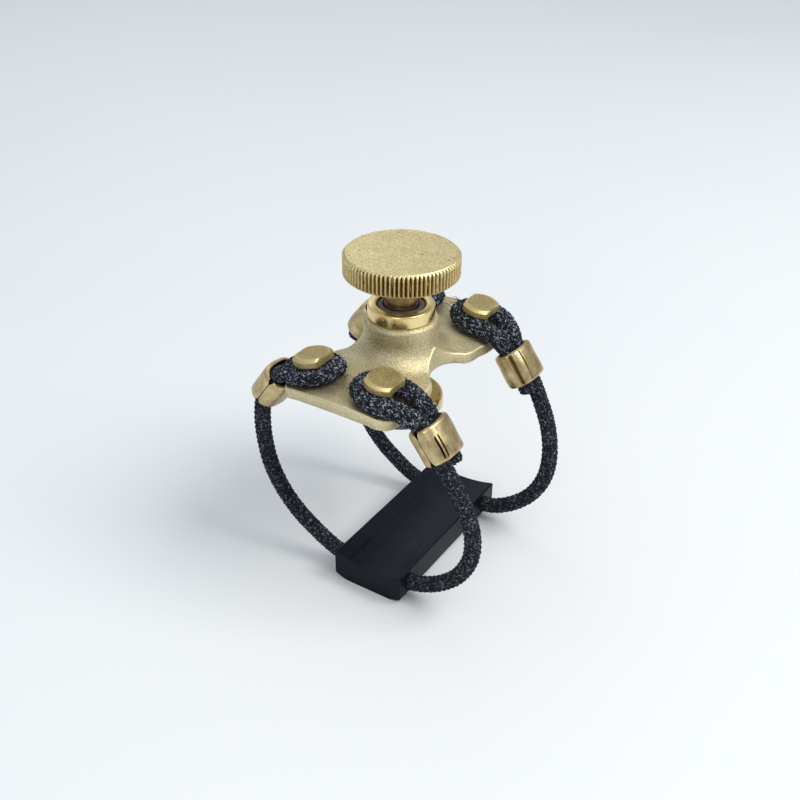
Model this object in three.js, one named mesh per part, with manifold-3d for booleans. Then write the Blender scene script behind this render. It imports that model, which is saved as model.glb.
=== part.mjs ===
// Saxophone ligature: an arched brass yoke with a thumbscrew and a pressure foot, slung over a
// reed plate by two braided cords. Millimetres, +Z up. Y runs along the mouthpiece. The origin is
// the middle of the reed plate's flat underside.
import * as THREE from "three";
import Module from "manifold-3d";
import { mergeVertices } from "three/addons/utils/BufferGeometryUtils.js";

const wasm = await Module();
wasm.setup();

// ---- driving dimensions ----
// The reed plate is placed from the origin. Everything above it hangs from the yoke and is placed
// from the crown of the yoke's arch, on the screw's axis.
const SCREW_X = -3.35; // the cords let the yoke hang a little to one side of the reed plate
const CROWN_Z = 32.25;

const PLATE_T = 1.6;
const ARCH_R = 30; // the yoke is bent about Y to this radius
const PLATE_HALF_X = 8.4;
const PLATE_HALF_Y = 17.1;
const FRONT_BOW = 0.0195; // how fast the front edge falls back from its middle, per mm squared
const CORNER_R = 2.6;
const WAIST_X = 5.5; // half width at the narrowest place
const WAIST_R = 5.5;

const BOSS_R = 5.1;
const BOSS_TOP = 4.8;
const BOSS_FLARE = 2.6;
const BOSS_ROUND = 0.55;
const BORE_R = 3.5; // hole in the boss for the bushing
const BUSHING_R = 4.53;
const BUSHING_TOP = 6.65;
const BUSHING_LOW = -PLATE_T - 0.4;
const RECESS_R = 3.35;
const RECESS_FLOOR = BUSHING_TOP - 1.0;
const THREAD_TOP = 1.0; // the bushing is threaded below this height and plain above it
const RING_WIRE = 0.42;

const KNOB_TOP = 13.9;
const KNOB_R = 7.75;
const KNOB_H = 3.15;
const KNOB_LOW = KNOB_TOP - KNOB_H;
const KNOB_TEETH = 84;
const TOOTH_DEPTH = 0.28;
const NECK_R = 2.25;
const NECK_LOW = RECESS_FLOOR - 0.3;
const COLLAR_H = 0.5;
const UNDERCUT = [BUSHING_TOP, BUSHING_TOP + 0.45]; // groove round the neck, just above the bushing
const UNDERCUT_R = 1.85;
const STEM_R = 1.6;
const JOURNAL_R = 1.15;
const RUNNING = 0.07; // radial clearance of turning fits

const FOOT_R = 6.05;
const FOOT_TOP = -6.95;
const FOOT_H = 2.0;
const FOOT_WEB = 0.95;
const FOOT_ROUND = 0.8;
const FOOT_POCKET_R = 2.7;
const WEB_LOW = FOOT_TOP - FOOT_WEB;
const PAD_R = 5.55;
const PAD_H = 1.2;
const CLIP_T = 0.28;

const POST_X = 5.0;
const POST_Y = 12.4;
const POST_R = 1.45;
const SHANK_R = 1.1;
const HEAD_R = 2.7;
const HEAD_T = 1.15;
const HEAD_FLAT = 1.95; // half width across the two flats
const CORD_SPACE = 2.3; // height of the groove between the plate and the head

const CORD_SOLID_R = 1.0; // the 2.4 mm braid, as a plain tube a little slimmer than it is
const CORD_STEPS = 80;

const SLEEVE_AT = [12.6, 11.35, -4.3]; // from the crown
const SLEEVE_LEAN = 35.5;
const SLEEVE_L = 5.0;
const SLEEVE_WALL = 0.55;
const SLEEVE_BORE = [5.0, 2.5]; // inside width along Y, inside depth
const SEAM_GAP = 0.35;

const REED_HALF_X = 5.5;
const REED_HALF_Y = 13.3;
const REED_EDGE_LOW = 0.65; // the underside curves up this far from its flat land
const REED_EDGE_TOP = 4.55;
const REED_TROUGH = 0.85; // how deep the reed's seat is hollowed
const REED_LAND = 3.7; // half width of the flat land underneath
const CORD_HOLE_R = 1.2;
const CORD_HOLE_Y = 10.65;
const CORD_HOLE_Z = 2.15;

const GAP = 0.05; // between turned pieces that meet on one axis
const RADIANS = Math.PI / 180;
const CORNERS = [[1, 1], [1, -1], [-1, 1], [-1, -1]];

// ---- the cord's route on one end of the ligature, at Y > 0 ----
// One loop, from the cut tail up through the sleeve, round the post and back down through the
// sleeve, from the crown. X is counted outwards, and both sides use it.
const LOOP = [
  [14.9, 10.25, -7.5],
  [14.05, 10.23, -6.33],
  [12.6, 10.23, -4.3],
  [11.15, 10.2, -2.27],
  [10.4, 10.15, -1.35],
  [9.3, 10.05, -0.5],
  [7.7, 9.9, 0.3],
  [5.2, 9.75, 0.71],
  [3.35, 10.53, 1.02],
  [2.58, 12.4, 1.15],
  [3.35, 14.27, 1.02],
  [5.2, 15.05, 0.71],
  [7.7, 14.65, 0.3],
  [9.3, 13.8, -0.5],
  [10.4, 13.0, -1.35],
  [11.15, 12.55, -2.27],
  [12.6, 12.47, -4.3],
];
// From the right sleeve down to the reed plate, and on to the left sleeve, from the origin.
const UNDER = [
  [10.7, 12.47, 25.95],
  [12.35, 12.3, 23.0],
  [14.15, 11.9, 19.3],
  [15.15, 11.4, 15.2],
  [14.9, 11.1, 11.0],
  [13.15, 10.9, 7.2],
  [10.4, 10.75, 4.4],
  [7.9, 10.66, 2.9],
  [6.0, 10.65, 2.25],
  [4.4, 10.65, 2.15],
  [0, 10.65, 2.15],
  [-4.4, 10.65, 2.15],
  [-6.0, 10.65, 2.25],
  [-7.9, 10.66, 2.85],
  [-10.6, 10.75, 4.4],
  [-13.6, 10.85, 6.6],
  [-16.1, 11.0, 9.5],
  [-17.85, 11.3, 13.4],
  [-18.4, 11.8, 18.0],
  [-18.2, 12.2, 22.2],
  [-17.4, 12.47, 25.95],
];

// ---- materials ----
function metal(color, roughness) {
  return new THREE.MeshStandardMaterial({ color, roughness, metalness: 1 });
}
const BLASTED = metal(0xb8aa7d, 0.5);
const STUD = metal(0x968250, 0.45);
const SATIN = metal(0xc3af73, 0.38);
const POLISHED = metal(0xe1c878, 0.12);
const BRONZE = metal(0x8c6e46, 0.25);
const FERRULE = metal(0xbea56e, 0.28);
const RUBBER = new THREE.MeshStandardMaterial({ color: 0x6e6469, roughness: 0.6, metalness: 0 });
const FELT = new THREE.MeshStandardMaterial({ color: 0x4a4b4e, roughness: 0.95, metalness: 0 });
const BRAID = new THREE.MeshStandardMaterial({ color: 0x191c24, roughness: 0.9, metalness: 0 });
const EBONITE = new THREE.MeshStandardMaterial({ color: 0x14161c, roughness: 0.4, metalness: 0 });

// ---- solids ----
function toSolid(geometry) {
  const bare = geometry.clone();
  bare.deleteAttribute("normal");
  bare.deleteAttribute("uv");
  const merged = mergeVertices(bare, 1e-4);
  return new wasm.Manifold(
    new wasm.Mesh({
      numProp: 3,
      vertProperties: new Float32Array(merged.attributes.position.array),
      triVerts: new Uint32Array(merged.index.array),
    }),
  );
}

function fromSolid(solid) {
  const mesh = solid.getMesh();
  const geometry = new THREE.BufferGeometry();
  geometry.setAttribute("position", new THREE.BufferAttribute(new Float32Array(mesh.vertProperties), 3));
  geometry.setIndex(new THREE.BufferAttribute(new Uint32Array(mesh.triVerts), 1));
  geometry.computeVertexNormals();
  return geometry;
}

// A turned piece about Z. The profile is a list of [radius, height], from the bottom upwards.
function turned(profile, segments = 32) {
  const points = profile.map(([radius, height]) => new THREE.Vector2(radius, height));
  return new THREE.LatheGeometry(points, segments).rotateX(Math.PI / 2);
}

function rod(radius, low, high, segments = 24) {
  return turned([[0, low], [radius, low], [radius, high], [0, high]], segments);
}

// A round stretch of an outline, as points, from angle a to angle b in degrees.
function arc(cx, cy, r, a, b, steps) {
  const points = [];
  for (let i = 0; i <= steps; i++) {
    const t = (a + ((b - a) * i) / steps) * RADIANS;
    points.push([cx + r * Math.cos(t), cy + r * Math.sin(t)]);
  }
  return points;
}

function shapeOf(points) {
  return new THREE.Shape(points.map(([x, y]) => new THREE.Vector2(x, y)));
}

function extruded(points, depth) {
  return new THREE.ExtrudeGeometry(shapeOf(points), { depth, bevelEnabled: false });
}

// Extrudes an outline in X and Z along Y, centred on Y = 0.
function alongY(points, length) {
  return extruded(points, length).rotateX(Math.PI / 2).translate(0, length / 2, 0);
}

function piece(name, geometry, material) {
  const mesh = new THREE.Mesh(geometry, material);
  mesh.name = name;
  return mesh;
}

// ---- yoke ----
// One corner of the outline, from the middle of the front edge round to the waist.
function yokeCorner() {
  const cornerX = PLATE_HALF_X - CORNER_R;
  const front = [0, 0.25, 0.5, 0.75, 1].map((share) => {
    const x = share * (cornerX - 0.2);
    return [x, PLATE_HALF_Y - FRONT_BOW * x * x];
  });
  const cornerY = front[4][1] - CORNER_R;
  const corner = arc(cornerX, cornerY, CORNER_R, 76, 0, 5);
  const shoulder = [[PLATE_HALF_X - 0.15, 7.2], [8.1, 5.6], [7.95, 4.9]];
  const waist = arc(WAIST_X + WAIST_R, 0, WAIST_R, 127, 180, 6);
  return [...front, ...corner, ...shoulder, ...waist];
}

function yokeOutline() {
  const corner = yokeCorner();
  const right = [...corner, ...corner.slice(0, -1).reverse().map(([x, y]) => [x, -y])];
  const left = right.slice(1, -1).reverse().map(([x, y]) => [-x, y]);
  return shapeOf([...right, ...left]);
}

function archedSlab() {
  const reach = 20;
  const outer = arc(0, -ARCH_R, ARCH_R, 90 - reach, 90 + reach, 20);
  const inner = arc(0, -ARCH_R, ARCH_R - PLATE_T, 90 + reach, 90 - reach, 20);
  return alongY([...outer, ...inner], 2 * PLATE_HALF_Y + 2);
}

function boss() {
  const reach = BOSS_R + BOSS_FLARE;
  const flareY = BOSS_FLARE - 0.5; // the flare meets the plate a little below the crown
  return turned([
    [0, 0.4 - PLATE_T],
    [reach, 0.4 - PLATE_T],
    ...arc(reach, flareY, BOSS_FLARE, 270, 180, 6),
    ...arc(BOSS_R - BOSS_ROUND, BOSS_TOP - BOSS_ROUND, BOSS_ROUND, 0, 90, 4),
    [0, BOSS_TOP],
  ], 48);
}

function yoke() {
  const prism = new THREE.ExtrudeGeometry(yokeOutline(), { depth: 20, bevelEnabled: false });
  let body = toSolid(archedSlab()).add(toSolid(boss())).intersect(toSolid(prism.translate(0, 0, -10)));
  body = body.subtract(toSolid(rod(BORE_R, -10, 10, 40)));
  for (const [sx, sy] of CORNERS) {
    body = body.subtract(toSolid(stand(rod(SHANK_R + 0.1, -6, 3, 16), sx, sy)));
  }
  return fromSolid(body);
}

// ---- posts ----
// Stands a piece made about Z on the arch at one corner, square to the plate.
function stand(geometry, sx, sy) {
  geometry.translate(0, 0, ARCH_R).rotateY(sx * Math.asin(POST_X / ARCH_R));
  return geometry.translate(0, sy * POST_Y, -ARCH_R);
}

function post() {
  const low = -PLATE_T - 0.4;
  const shoulder = 0.12;
  const top = CORD_SPACE + HEAD_T;
  const blank = turned([
    [0, low],
    [SHANK_R, low],
    [SHANK_R, shoulder],
    [POST_R, shoulder],
    [POST_R, CORD_SPACE],
    [HEAD_R - 0.15, CORD_SPACE],
    [HEAD_R, CORD_SPACE + 0.15],
    [HEAD_R, top - 0.22],
    [HEAD_R - 0.22, top],
    [0, top],
  ]);
  const flats = new THREE.BoxGeometry(2 * HEAD_FLAT, 12, 12);
  return fromSolid(toSolid(blank).intersect(toSolid(flats)));
}

// ---- screw ----
function bushing() {
  const thread = STEM_R + RUNNING;
  const guide = NECK_R + RUNNING;
  return turned([
    [thread, BUSHING_LOW],
    [BORE_R - GAP, BUSHING_LOW],
    [BORE_R - GAP, BOSS_TOP + GAP],
    [BUSHING_R, BOSS_TOP + GAP],
    [BUSHING_R, BUSHING_TOP - 0.25],
    [BUSHING_R - 0.25, BUSHING_TOP],
    [RECESS_R + 0.2, BUSHING_TOP],
    [RECESS_R, BUSHING_TOP - 0.2],
    [RECESS_R, RECESS_FLOOR],
    [guide, RECESS_FLOOR],
    [guide, THREAD_TOP],
    [thread, THREAD_TOP - 0.5],
    [thread, BUSHING_LOW],
  ], 40);
}

function frictionRing() {
  const ring = new THREE.TorusGeometry(NECK_R + RUNNING + RING_WIRE, RING_WIRE, 8, 36);
  return ring.translate(0, 0, RECESS_FLOOR + RING_WIRE + GAP);
}

function knob() {
  const teeth = [];
  for (let i = 0; i < 2 * KNOB_TEETH; i++) {
    const radius = KNOB_R - (i % 2) * TOOTH_DEPTH;
    const angle = (Math.PI * i) / KNOB_TEETH;
    teeth.push([radius * Math.cos(angle), radius * Math.sin(angle)]);
  }
  const rim = extruded(teeth, KNOB_H).translate(0, 0, KNOB_LOW);
  const blank = turned([
    [0, KNOB_LOW],
    [KNOB_R - 0.3, KNOB_LOW],
    [KNOB_R + 0.1, KNOB_LOW + 0.3],
    [KNOB_R + 0.1, KNOB_TOP - 0.3],
    [KNOB_R - 0.35, KNOB_TOP],
    [0, KNOB_TOP],
  ], 64);
  const socket = rod(STEM_R + 0.02, KNOB_LOW - 1, KNOB_LOW + 2.2, 32);
  return fromSolid(toSolid(rim).intersect(toSolid(blank)).subtract(toSolid(socket)));
}

function shaft() {
  const tip = WEB_LOW - 0.75;
  const grooveTop = WEB_LOW - 0.1;
  const grooveLow = grooveTop - CLIP_T - 0.12;
  return turned([
    [0, tip],
    [JOURNAL_R, tip],
    [JOURNAL_R, grooveLow],
    [JOURNAL_R - 0.3, grooveLow],
    [JOURNAL_R - 0.3, grooveTop],
    [JOURNAL_R, grooveTop],
    [JOURNAL_R, FOOT_TOP + GAP],
    [STEM_R, FOOT_TOP + GAP + 0.3],
    [STEM_R, NECK_LOW],
    [NECK_R, NECK_LOW + 0.5],
    [NECK_R, UNDERCUT[0]],
    [UNDERCUT_R, UNDERCUT[0]],
    [UNDERCUT_R, UNDERCUT[1]],
    [NECK_R, UNDERCUT[1]],
    [NECK_R, KNOB_LOW - COLLAR_H],
    [NECK_R + 0.4, KNOB_LOW - COLLAR_H + 0.15],
    [NECK_R + 0.4, KNOB_LOW - GAP],
    [STEM_R - 0.03, KNOB_LOW - GAP],
    [STEM_R - 0.03, KNOB_LOW + 2.1],
    [0, KNOB_LOW + 2.1],
  ]);
}

// ---- pressure foot ----
function foot() {
  const low = FOOT_TOP - FOOT_H;
  const hole = JOURNAL_R + RUNNING;
  const edge = FOOT_R - FOOT_ROUND;
  return turned([
    [FOOT_POCKET_R, low],
    [FOOT_R - 0.15, low],
    [FOOT_R, low + 0.15],
    ...arc(edge, FOOT_TOP - FOOT_ROUND, FOOT_ROUND, 0, 90, 4),
    [hole, FOOT_TOP],
    [hole, WEB_LOW],
    [FOOT_POCKET_R, WEB_LOW],
    [FOOT_POCKET_R, low],
  ], 40);
}

function pad() {
  const top = FOOT_TOP - FOOT_H - GAP;
  return turned([
    [0, top - PAD_H],
    [PAD_R - 0.2, top - PAD_H],
    [PAD_R, top - PAD_H + 0.2],
    [PAD_R, top],
    [0, top],
  ], 40);
}

// A snap ring in the shaft's groove, open on one side.
function clip() {
  const inner = arc(0, 0, JOURNAL_R - 0.22, 60, -240, 12);
  const outer = arc(0, 0, 2.2, -240, 60, 14);
  return extruded([...inner, ...outer], CLIP_T).translate(0, 0, WEB_LOW - 0.16 - CLIP_T);
}

// ---- crimp sleeves ----
// A flattened C of sheet brass about Z, wide along Y, its seam on the edge that faces -Y.
function sleeve() {
  const [width, depth] = SLEEVE_BORE;
  const straight = (width - depth) / 2;
  const wall = (r) => {
    const lip = Math.asin(SEAM_GAP / 2 / r) / RADIANS;
    return [...arc(0, -straight, r, 270 + lip, 360, 5), ...arc(0, straight, r, 0, 180, 9),
      ...arc(0, -straight, r, 180, 270 - lip, 5)];
  };
  const outline = [...wall(depth / 2 + SLEEVE_WALL), ...wall(depth / 2).reverse()];
  return extruded(outline, SLEEVE_L).translate(0, 0, -SLEEVE_L / 2);
}

function placeSleeve(geometry, sx, sy) {
  const [x, y, z] = SLEEVE_AT;
  return geometry.rotateY(-sx * SLEEVE_LEAN * RADIANS).translate(sx * x, sy * y, z);
}

// ---- reed plate ----
function reedPlate() {
  const half = REED_HALF_X;
  const radius = (half * half + REED_TROUGH * REED_TROUGH) / (2 * REED_TROUGH);
  const spread = Math.asin(half / radius) / RADIANS;
  const centre = REED_EDGE_TOP - REED_TROUGH + radius;
  const trough = arc(0, centre, radius, 270 + spread, 270 - spread, 14);
  const rise = [[REED_LAND, 0], [(REED_LAND + half) / 2, 0.36 * REED_EDGE_LOW], [half, REED_EDGE_LOW]];
  const fall = rise.map(([x, z]) => [-x, z]).reverse();
  let body = toSolid(alongY([...fall, ...rise, ...trough], 2 * REED_HALF_Y));
  for (const sy of [1, -1]) {
    const hole = rod(CORD_HOLE_R, -10, 10, 16).rotateY(Math.PI / 2);
    body = body.subtract(toSolid(hole.translate(0, sy * CORD_HOLE_Y, CORD_HOLE_Z)));
  }
  return fromSolid(body);
}

// ---- cords ----
function cord(sy) {
  const right = LOOP.map(([x, y, z]) => [SCREW_X + x, y, CROWN_Z + z]);
  const left = LOOP.map(([x, y, z]) => [SCREW_X - x, y, CROWN_Z + z]).reverse();
  const points = [...right, ...UNDER, ...left].map(([x, y, z]) => new THREE.Vector3(x, sy * y, z));
  const section = new THREE.Shape().absarc(0, 0, CORD_SOLID_R, 0, 2 * Math.PI);
  return new THREE.ExtrudeGeometry(section, {
    curveSegments: 4, // a full circle gets twice as many sides
    steps: CORD_STEPS,
    extrudePath: new THREE.CatmullRomCurve3(points, false, "centripetal"),
  });
}

// ---- assembly ----
const ligature = new THREE.Group();
ligature.add(piece("reed_plate", reedPlate(), EBONITE));
ligature.add(piece("rear_cord", cord(1), BRAID));
ligature.add(piece("front_cord", cord(-1), BRAID));

const upper = new THREE.Group();
upper.position.set(SCREW_X, 0, CROWN_Z);
upper.add(piece("yoke", yoke(), BLASTED));
for (const [sx, sy] of CORNERS) {
  const corner = `${sy > 0 ? "rear" : "front"}_${sx > 0 ? "right" : "left"}`;
  upper.add(piece(`cord_post_${corner}`, stand(post(), sx, sy), STUD));
  upper.add(piece(`crimp_sleeve_${corner}`, placeSleeve(sleeve(), sx, sy), FERRULE));
}
upper.add(piece("screw_bushing", bushing(), POLISHED));
upper.add(piece("friction_ring", frictionRing(), RUBBER));
upper.add(piece("thumbscrew_knob", knob(), SATIN));
upper.add(piece("thumbscrew_shaft", shaft(), BRONZE));
upper.add(piece("retaining_clip", clip(), BRONZE));
upper.add(piece("pressure_foot", foot(), POLISHED));
upper.add(piece("foot_pad", pad(), FELT));
ligature.add(upper);

export default ligature;
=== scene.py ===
"""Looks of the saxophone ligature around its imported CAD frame.

The frame is in metres. Outlines and profiles here are worked out in millimetres, from the crown of
the yoke on the screw's axis, and turned into metres where a mesh is made.
"""
import math

import bmesh
import bpy
import numpy as np
from mathutils import Matrix, Vector


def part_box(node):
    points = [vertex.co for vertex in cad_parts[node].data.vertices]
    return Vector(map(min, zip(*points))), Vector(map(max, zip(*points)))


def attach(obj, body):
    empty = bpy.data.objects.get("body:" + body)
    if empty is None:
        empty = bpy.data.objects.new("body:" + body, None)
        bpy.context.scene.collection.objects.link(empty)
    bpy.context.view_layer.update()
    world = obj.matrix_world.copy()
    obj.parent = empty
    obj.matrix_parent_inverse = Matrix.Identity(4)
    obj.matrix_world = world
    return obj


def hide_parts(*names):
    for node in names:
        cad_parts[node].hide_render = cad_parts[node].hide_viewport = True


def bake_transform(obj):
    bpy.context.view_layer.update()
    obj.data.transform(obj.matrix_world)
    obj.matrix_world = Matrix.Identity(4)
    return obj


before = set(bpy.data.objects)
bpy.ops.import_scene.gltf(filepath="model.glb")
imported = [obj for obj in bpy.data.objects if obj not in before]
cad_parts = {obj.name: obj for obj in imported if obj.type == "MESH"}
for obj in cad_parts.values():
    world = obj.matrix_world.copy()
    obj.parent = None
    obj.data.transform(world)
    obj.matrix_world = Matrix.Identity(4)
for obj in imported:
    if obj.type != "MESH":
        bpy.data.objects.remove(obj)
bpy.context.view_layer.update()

MM = 0.001
RNG = np.random.default_rng(11)


def measured(node):
    """A CAD node's lowest and highest corner, in millimetres."""
    return [np.array(corner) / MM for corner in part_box(node)]


# ---- driving dimensions, in millimetres, with heights from the crown ----
KNOB_TOP = 13.9
KNOB_BOX = measured("thumbscrew_knob")
KNOB_R = (KNOB_BOX[1][0] - KNOB_BOX[0][0]) / 2
KNOB_LOW = KNOB_TOP - (KNOB_BOX[1][2] - KNOB_BOX[0][2])
SCREW_X = (KNOB_BOX[0][0] + KNOB_BOX[1][0]) / 2
CROWN = np.array([SCREW_X, 0.0, KNOB_BOX[1][2] - KNOB_TOP])
KNOB_TEETH = 84
TOOTH_DEPTH = 0.36

PLATE_T = 1.6
ARCH_R = 30.0
PLATE_HALF_X = 8.4
PLATE_HALF_Y = 17.1
FRONT_BOW = 0.0195
CORNER_R = 2.6
WAIST_X = 5.5
WAIST_R = 5.5
BOSS_R = 5.1
BOSS_TOP = 4.8
BOSS_FLARE = 2.6
BOSS_ROUND = 0.7
BORE_R = 3.5

BUSHING_R = 4.53
BUSHING_TOP = 6.65
RECESS_R = 3.35
RECESS_FLOOR = BUSHING_TOP - 1.0
RING_WIRE = 0.42
NECK_R = 2.25
UNDERCUT = (BUSHING_TOP, BUSHING_TOP + 0.45)
UNDERCUT_R = 1.85
STEM_R = 1.6
JOURNAL_R = 1.15
RUNNING = 0.07
THREAD_PITCH = 0.7

FOOT_R = 6.05
FOOT_TOP = -6.95
FOOT_H = 2.0
FOOT_WEB = 0.95
PAD_R = 5.55
PAD_H = 1.2

POST_X = 5.0
POST_Y = 12.4
POST_R = 1.45
HEAD_R = 2.7
HEAD_T = 1.15
HEAD_FLAT = 1.95
CORD_SPACE = 2.3

SLEEVE_AT = (12.6, 11.35, -4.3)
SLEEVE_LEAN = 35.5
SLEEVE_L = 5.0
SLEEVE_WALL = 0.55
SLEEVE_BORE = (5.0, 2.5)
SEAM_GAP = 0.35

CORD_D = 2.4
YARNS_EACH_WAY = 10
LAY = 8.8  # length of cord in which a yarn goes once round
CORD_HOLE_R = 1.3
CORD_HOLE_Y = 10.65
CORD_HOLE_Z = 2.15
STEPS_PER_CROSSING = 3
CORNERS = [
    ("rear", "right", 1, 1),
    ("front", "right", 1, -1),
    ("rear", "left", -1, 1),
    ("front", "left", -1, -1),
]


# ---- camera ----
def make_camera(azimuth, elevation, roll, distance, target, lens):
    a, e, turn = (math.radians(x) for x in (azimuth, elevation, roll))
    back = Vector((math.sin(a) * math.cos(e), -math.cos(a) * math.cos(e), math.sin(e)))
    right = Vector((math.cos(a), math.sin(a), 0))
    up = back.cross(right)
    turned_right = right * math.cos(turn) + up * math.sin(turn)
    right, up = turned_right, up * math.cos(turn) - right * math.sin(turn)
    data = bpy.data.cameras.new("camera")
    data.lens = lens
    data.sensor_width = 36
    data.clip_start = 0.005
    data.clip_end = 20
    camera = bpy.data.objects.new("camera", data)
    axes = Matrix((right, up, back)).transposed().to_4x4()
    camera.matrix_world = Matrix.Translation(target + back * distance) @ axes
    bpy.context.scene.collection.objects.link(camera)
    bpy.context.scene.camera = camera


LOOK_DEPTH = 22.586  # how far below the knob's top, on the screw's axis, the camera looks
make_camera(
    azimuth=32.275,
    elevation=31.881,
    roll=0.748,
    distance=0.147405,
    target=Vector(CROWN * MM) + Vector((0, 0, (KNOB_TOP - LOOK_DEPTH) * MM)),
    lens=47.25,
)


# ---- meshes ----
def filleted(corners, steps=6):
    """A polyline with its corners rounded. A corner is (x, y), or (x, y, radius) where it is round."""
    points = []
    for i, corner in enumerate(corners):
        here = np.array(corner[:2], float)
        if len(corner) == 2:
            points.append(here)
            continue
        before = np.array(corners[i - 1][:2], float) - here
        after = np.array(corners[(i + 1) % len(corners)][:2], float) - here
        before /= np.linalg.norm(before)
        after /= np.linalg.norm(after)
        half = math.acos(max(-1.0, min(1.0, before @ after))) / 2
        middle = (before + after) / np.linalg.norm(before + after)
        centre = here + middle * corner[2] / math.sin(half)
        reach = corner[2] / math.tan(half)
        a, b = here + before * reach - centre, here + after * reach - centre
        angle = math.pi - 2 * half
        for k in range(steps + 1):
            t = k / steps
            along = (math.sin((1 - t) * angle) * a + math.sin(t * angle) * b) / math.sin(angle)
            points.append(centre + along)
    return np.array(points)


def arc(cx, cy, r, a, b, steps):
    t = np.radians(np.linspace(a, b, steps + 1))
    return np.stack([cx + r * np.cos(t), cy + r * np.sin(t)], axis=1)


def outward(outline):
    """The outward normals of a closed outline that runs anticlockwise."""
    along = np.roll(outline, -1, axis=0) - np.roll(outline, 1, axis=0)
    normals = np.stack([along[:, 1], -along[:, 0]], axis=1)
    return normals / np.linalg.norm(normals, axis=1)[:, None]


def link(name, mesh):
    piece = bpy.data.objects.new(name, mesh)
    bpy.context.scene.collection.objects.link(piece)
    return piece


def surface(name, rings, wrap_rows=False, capped=False, transform=None, **layers):
    """A mesh from rings of points in millimetres. The points of a ring run anticlockwise.

    A layer holds a value from 0 to 1 for each point, for the material: how much painted shade it takes,
    or how worn it is.
    """
    rows, columns = rings.shape[:2]
    index = np.arange(rows * columns).reshape(rows, columns)
    grid = np.concatenate([index, index[:1]]) if wrap_rows else index
    grid = np.concatenate([grid, grid[:, :1]], axis=1)
    quads = np.stack([grid[:-1, :-1], grid[:-1, 1:], grid[1:, 1:], grid[1:, :-1]], axis=-1)
    faces = quads.reshape(-1, 4).tolist()
    if capped:
        faces += [index[0][::-1].tolist(), index[-1].tolist()]
    mesh = bpy.data.meshes.new(name)
    mesh.from_pydata((rings.reshape(-1, 3) * MM).tolist(), [], faces)
    if transform is not None:
        mesh.transform(transform)
    for key, values in layers.items():
        layer = mesh.attributes.new(key, "FLOAT", "POINT")
        spread = np.broadcast_to(values, (rows, columns)).astype(np.float32)
        layer.data.foreach_set("value", spread.ravel())
    welded = bmesh.new()
    welded.from_mesh(mesh)
    bmesh.ops.remove_doubles(welded, verts=welded.verts, dist=1e-7)
    bmesh.ops.recalc_face_normals(welded, faces=welded.faces)
    welded.to_mesh(mesh)
    welded.free()
    return link(name, mesh)


def circles(profile, segments):
    """Rings about Z from a profile of (radius, height)."""
    t = 2 * np.pi * np.arange(segments) / segments
    radius, height = profile[:, :1], profile[:, 1:]
    return np.stack([radius * np.cos(t), radius * np.sin(t), height + 0 * t], axis=-1)


def turned(name, corners, segments=128, closed=False):
    """A piece turned about the screw's axis."""
    rings = circles(filleted(corners), segments)
    return surface(name, rings + CROWN, wrap_rows=closed)


def applied(piece):
    """The piece with its modifiers made part of its mesh."""
    graph = bpy.context.evaluated_depsgraph_get()
    piece.data = bpy.data.meshes.new_from_object(piece.evaluated_get(graph))
    piece.modifiers.clear()
    return piece


def smooth(piece, angle=40):
    piece.data.polygons.foreach_set("use_smooth", [True] * len(piece.data.polygons))
    piece.data.set_sharp_from_angle(angle=math.radians(angle))


def dress(piece, material, slot, body, *nodes):
    """Gives a piece its material and its place in the frame, instead of those CAD nodes."""
    piece.data.materials.clear()
    piece.data.materials.append(material)
    smooth(piece)
    weighted = piece.modifiers.new("weighted_normals", "WEIGHTED_NORMAL")
    weighted.keep_sharp = True
    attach(piece, body)
    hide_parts(*nodes)
    return piece


# ---- material nodes ----
def node(material, kind, inputs=None, **settings):
    """A node whose inputs are given values or linked to other nodes' outputs."""
    made = material.node_tree.nodes.new("ShaderNode" + kind)
    for key, value in settings.items():
        setattr(made, key, value)
    for key, value in (inputs or {}).items():
        if isinstance(value, bpy.types.NodeSocket):
            material.node_tree.links.new(value, made.inputs[key])
        else:
            made.inputs[key].default_value = value
    return made


def new_material(name, **sockets):
    """A Principled material. A socket's spaces are written as underscores."""
    material = bpy.data.materials.new(name)
    material.use_nodes = True
    shader = material.node_tree.nodes["Principled BSDF"]
    for key, value in sockets.items():
        shader.inputs[key.replace("_", " ")].default_value = value
    return material, shader


def wire(material, output, shader, name):
    material.node_tree.links.new(output, shader.inputs[name])


def place(material, stretch=(1, 1, 1), turn=(0, 0, 0)):
    """Points on the piece in metres, stretched and turned for a texture."""
    at = node(material, "TexCoord").outputs["Object"]
    return node(material, "Mapping", {"Vector": at, "Scale": stretch, "Rotation": turn}).outputs[0]


def noise(material, scale, detail=2.0, rough=0.5, vector=None):
    inputs = {"Scale": scale, "Detail": detail, "Roughness": rough, "Vector": vector or place(material)}
    return node(material, "TexNoise", inputs).outputs["Fac"]


def ramp(material, value, stops):
    """Colours or greys by value. A stop is (position, colour), in linear RGB."""
    made = node(material, "ValToRGB", {"Fac": value})
    elements = made.color_ramp.elements
    while len(elements) < len(stops):
        elements.new(0.5)
    for element, (position, colour) in zip(elements, stops):
        element.position = position
        element.color = (*colour, 1) if isinstance(colour, tuple) else (colour, colour, colour, 1)
    return made.outputs["Color"]


def blend(material, share, a, b, mode="MIX"):
    """Mixes colours a and b. Share is a number or an output."""
    made = node(material, "Mix", data_type="RGBA", blend_type=mode)
    for socket, value in (("Factor_Float", share), ("A_Color", a), ("B_Color", b)):
        target = next(s for s in made.inputs if s.identifier == socket)
        if isinstance(value, bpy.types.NodeSocket):
            material.node_tree.links.new(value, target)
        else:
            target.default_value = (*value, 1) if isinstance(value, tuple) else value
    return next(s for s in made.outputs if s.identifier == "Result_Color")


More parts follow.
